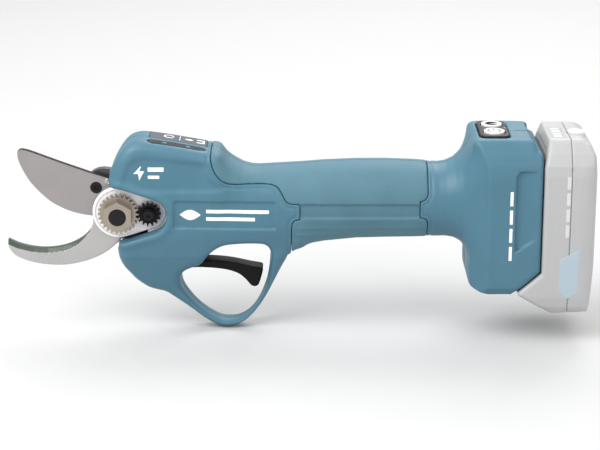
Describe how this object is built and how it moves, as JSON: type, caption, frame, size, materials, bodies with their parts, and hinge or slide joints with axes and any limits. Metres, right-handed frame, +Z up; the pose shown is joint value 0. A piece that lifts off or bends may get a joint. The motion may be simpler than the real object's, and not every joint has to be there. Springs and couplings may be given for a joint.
{
  "type": "battery electric pruner",
  "caption": "One-handed cordless pruner: curved cutting blade and hook at the head, trigger in a guard, round handle, slide-on battery pack behind.",
  "frame": {"origin": "under the middle of the tool, at the height of the trigger guard's lowest point", "axes": "+Z up with the tool held level, -X towards the blade tips, -Y towards the side with the pivot nut"},
  "size_m": [0.3021, 0.058, 0.1068],
  "materials": {
    "teal_plastic": "fine moulded grain, satin",
    "grip_rubber": "soft overmoulded grip with a fine stipple",
    "display_grey": "smooth lens",
    "black_plastic": "moulded, satin",
    "button_white": "printed ring on a soft key",
    "circuit_board": "solder mask",
    "blade_steel": "ground steel",
    "hook_steel": "ground steel",
    "dark_steel": "black oxide",
    "lock_black": "black oxide",
    "nut_bronze": "warm grey bronze",
    "cast_alloy": "bright cast alloy",
    "gear_steel": "machined steel",
    "copper_winding": "enamelled copper wire",
    "terminal_brass": "plated brass",
    "battery_grey": "satin moulded plastic, light grey",
    "cell_wrap": "shrink film"
  },
  "bodies": {
    "housing": {"housing_left": "teal_plastic", "housing_right": "teal_plastic", "grip_overmould_left": "grip_rubber", "grip_overmould_right": "grip_rubber", "display_panel": "display_grey", "switch_bezel": "black_plastic", "switch_board": "circuit_board", "housing_screw_1": "dark_steel", "housing_screw_2": "dark_steel", "housing_screw_3": "dark_steel", "housing_screw_4": "dark_steel", "hook_blade": "hook_steel", "cheek_plate_left": "cast_alloy", "cheek_plate_right": "cast_alloy", "cheek_screw_1": "dark_steel", "cheek_screw_2": "dark_steel", "lock_screw": "dark_steel", "pivot_bolt": "dark_steel", "thrust_washer": "nut_bronze", "gear_case": "cast_alloy", "shaft_bearing": "gear_steel", "ring_gear": "gear_steel", "motor_stator": "gear_steel", "motor_windings": "copper_winding", "motor_front_cap": "cast_alloy", "motor_rear_cap": "black_plastic", "controller_board": "circuit_board", "trigger_pin": "gear_steel", "trigger_spring": "gear_steel", "trigger_switch": "black_plastic", "battery_guide": "black_plastic", "terminal_block": "terminal_brass"},
    "blade": {"cutting_blade": "blade_steel", "swing_gear": "dark_steel", "arm_screw": "dark_steel"},
    "output": {"output_shaft": "gear_steel"},
    "carrier": {"stage_carrier": "gear_steel"},
    "rotor": {"motor_rotor": "dark_steel"},
    "nut": {"blade_nut": "nut_bronze"},
    "lock": {"lock_gear": "lock_black"},
    "trigger": {"trigger": "black_plastic"},
    "power_key": {"power_button": "button_white"},
    "mode_key": {"mode_button": "button_white"},
    "battery": {"battery_case_front": "battery_grey", "battery_case_rear": "battery_grey", "battery_screw_1": "dark_steel", "battery_screw_2": "dark_steel", "battery_board": "circuit_board", "cell_1": "cell_wrap", "cell_2": "cell_wrap", "cell_3": "cell_wrap", "latch_spring": "gear_steel"},
    "latch": {"battery_latch": "battery_grey"},
    "gauge_key": {"gauge_button": "button_white"},
    "planet_1a": {"planet_1a": "gear_steel"},
    "planet_1b": {"planet_1b": "gear_steel"},
    "planet_1c": {"planet_1c": "gear_steel"},
    "planet_2a": {"planet_2a": "gear_steel"},
    "planet_2b": {"planet_2b": "gear_steel"},
    "planet_2c": {"planet_2c": "gear_steel"}
  },
  "joints": [
    {"name": "rotor_spin", "type": "hinge", "parent": "housing", "child": "rotor", "pos_m": [-0.01278, 0, 0.06719], "axis": [0.999, 0, 0.0436], "range_deg": [0, 3888]},
    {"name": "carrier_spin", "type": "hinge", "parent": "housing", "child": "carrier", "pos_m": [-0.04075, 0, 0.06597], "axis": [0.999, 0, 0.0436], "range_deg": [0, 865]},
    {"name": "output_spin", "type": "hinge", "parent": "housing", "child": "output", "pos_m": [-0.06073, 0, 0.0651], "axis": [0.999, 0, 0.0436], "range_deg": [0, 193]},
    {"name": "blade_swing", "type": "hinge", "parent": "housing", "child": "blade", "pos_m": [-0.0927, 0.004, 0.0637], "axis": [0, -1, 0], "range_deg": [0, 48.1]},
    {"name": "planet_1a_spin", "type": "hinge", "parent": "carrier", "child": "planet_1a", "pos_m": [-0.03605, 0.0081, 0.06617], "axis": [0.999, 0, 0.0436], "range_deg": [-2420.2, 0]},
    {"name": "planet_1b_spin", "type": "hinge", "parent": "carrier", "child": "planet_1b", "pos_m": [-0.03636, -0.00405, 0.07318], "axis": [0.999, 0, 0.0436], "range_deg": [-2420.2, 0]},
    {"name": "planet_1c_spin", "type": "hinge", "parent": "carrier", "child": "planet_1c", "pos_m": [-0.03575, -0.00405, 0.05917], "axis": [0.999, 0, 0.0436], "range_deg": [-2420.2, 0]},
    {"name": "planet_2a_spin", "type": "hinge", "parent": "output", "child": "planet_2a", "pos_m": [-0.04555, 0.0081, 0.06576], "axis": [0.999, 0, 0.0436], "range_deg": [-538.6, 0]},
    {"name": "planet_2b_spin", "type": "hinge", "parent": "output", "child": "planet_2b", "pos_m": [-0.04585, -0.00405, 0.07277], "axis": [0.999, 0, 0.0436], "range_deg": [-538.6, 0]},
    {"name": "planet_2c_spin", "type": "hinge", "parent": "output", "child": "planet_2c", "pos_m": [-0.04524, -0.00405, 0.05875], "axis": [0.999, 0, 0.0436], "range_deg": [-538.6, 0]},
    {"name": "trigger_pull", "type": "hinge", "parent": "housing", "child": "trigger", "pos_m": [-0.072, 0, 0.035], "axis": [0, -1, 0], "range_deg": [0, 9], "stiffness_Nm_per_rad": 1.2, "springref_deg": -5.73},
    {"name": "power_press", "type": "slide", "parent": "housing", "child": "power_key", "axis": [0, 0, -1], "range_m": [0, 0.0008], "stiffness_N_per_m": 800, "springref_m": -0.0005},
    {"name": "mode_press", "type": "slide", "parent": "housing", "child": "mode_key", "axis": [0, 0, -1], "range_m": [0, 0.0008], "stiffness_N_per_m": 800, "springref_m": -0.0005},
    {"name": "battery_slide", "type": "slide", "parent": "housing", "child": "battery", "axis": [0, 0, -1], "range_m": [0, 0.09]},
    {"name": "latch_press", "type": "slide", "parent": "battery", "child": "latch", "axis": [1, 0, 0], "range_m": [0, 0.002], "stiffness_N_per_m": 900, "springref_m": -0.001, "deforming": ["latch_spring"]},
    {"name": "gauge_press", "type": "slide", "parent": "battery", "child": "gauge_key", "axis": [0, 0, -1], "range_m": [0, 0.0005], "stiffness_N_per_m": 800, "springref_m": -0.0004},
    {"name": "nut_turn", "type": "hinge", "parent": "housing", "child": "nut", "pos_m": [-0.0927, -0.0107, 0.0637], "axis": [0, -1, 0], "range_deg": [-60, 60]},
    {"name": "lock_turn", "type": "hinge", "parent": "housing", "child": "lock", "pos_m": [-0.07712, -0.0106, 0.0637], "axis": [0, -1, 0], "range_deg": [-105, 105]}
  ],
  "couplings": [
    {"joint": "carrier_spin", "follows": "rotor_spin", "ratio": 0.22222},
    {"joint": "output_spin", "follows": "rotor_spin", "ratio": 0.049383},
    {"joint": "blade_swing", "follows": "rotor_spin", "ratio": 0.012346},
    {"joint": "planet_1a_spin", "follows": "rotor_spin", "ratio": -0.62222},
    {"joint": "planet_1b_spin", "follows": "rotor_spin", "ratio": -0.62222},
    {"joint": "planet_1c_spin", "follows": "rotor_spin", "ratio": -0.62222},
    {"joint": "planet_2a_spin", "follows": "rotor_spin", "ratio": -0.13827},
    {"joint": "planet_2b_spin", "follows": "rotor_spin", "ratio": -0.13827},
    {"joint": "planet_2c_spin", "follows": "rotor_spin", "ratio": -0.13827},
    {"joint": "lock_turn", "follows": "nut_turn", "ratio": -1.7333}
  ]
}
